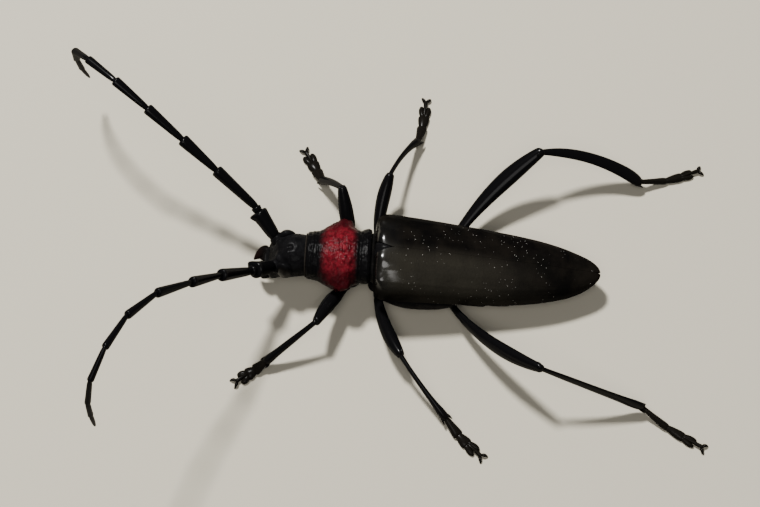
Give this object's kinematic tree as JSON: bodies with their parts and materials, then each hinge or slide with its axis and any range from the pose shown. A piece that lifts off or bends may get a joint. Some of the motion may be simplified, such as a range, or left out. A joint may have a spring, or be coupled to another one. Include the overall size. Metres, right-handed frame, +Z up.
{
  "type": "red-necked longhorn beetle",
  "caption": "Life-size black longhorn beetle with a red pronotum, standing still on spread legs with long curved feelers.",
  "frame": {"origin": "middle of the floor area that feet and feelers span, on the floor", "axes": "+X towards the tail along the body, +Y to the beetle's right side, +Z up"},
  "size_m": [0.0646, 0.0416, 0.0208],
  "materials": {
    "black_shell": "glossy black chitin",
    "black_limb": "satin black chitin",
    "wing_cover": "satin black, finely leathery chitin",
    "red_shell": "glossy wrinkled red chitin",
    "eye": "dark faceted eye",
    "dark_belly": "dull black chitin with a fine sheen"
  },
  "bodies": {
    "root": {"head": "black_shell", "pronotum": "red_shell", "scutellum": "black_shell", "thorax": "dark_belly", "abdomen": "dark_belly", "elytron_right": "wing_cover", "eye_right": "eye", "mandible_right": "black_shell", "antenna_right_base": "black_limb", "antenna_right_lower": "black_limb", "antenna_right_middle": "black_limb", "antenna_right_upper": "black_limb", "antenna_right_outer": "black_limb", "antenna_right_tip": "black_limb", "elytron_left": "wing_cover", "eye_left": "eye", "mandible_left": "black_shell", "antenna_left_base": "black_limb", "antenna_left_lower": "black_limb", "antenna_left_middle": "black_limb", "antenna_left_upper": "black_limb", "antenna_left_outer": "black_limb", "antenna_left_tip": "black_limb", "leg_front_right_coxa": "black_shell", "leg_front_right_femur": "black_limb", "leg_front_right_tibia": "black_limb", "leg_front_right_tarsus": "black_limb", "leg_front_left_coxa": "black_shell", "leg_front_left_femur": "black_limb", "leg_front_left_tibia": "black_limb", "leg_front_left_tarsus": "black_limb", "leg_middle_right_coxa": "black_shell", "leg_middle_right_femur": "black_limb", "leg_middle_right_tibia": "black_limb", "leg_middle_right_tarsus": "black_limb", "leg_middle_left_coxa": "black_shell", "leg_middle_left_femur": "black_limb", "leg_middle_left_tibia": "black_limb", "leg_middle_left_tarsus": "black_limb", "leg_hind_right_coxa": "black_shell", "leg_hind_right_femur": "black_limb", "leg_hind_right_tibia": "black_limb", "leg_hind_right_tarsus": "black_limb", "leg_hind_left_coxa": "black_shell", "leg_hind_left_femur": "black_limb", "leg_hind_left_tibia": "black_limb", "leg_hind_left_tarsus": "black_limb"}
  },
  "joints": []
}
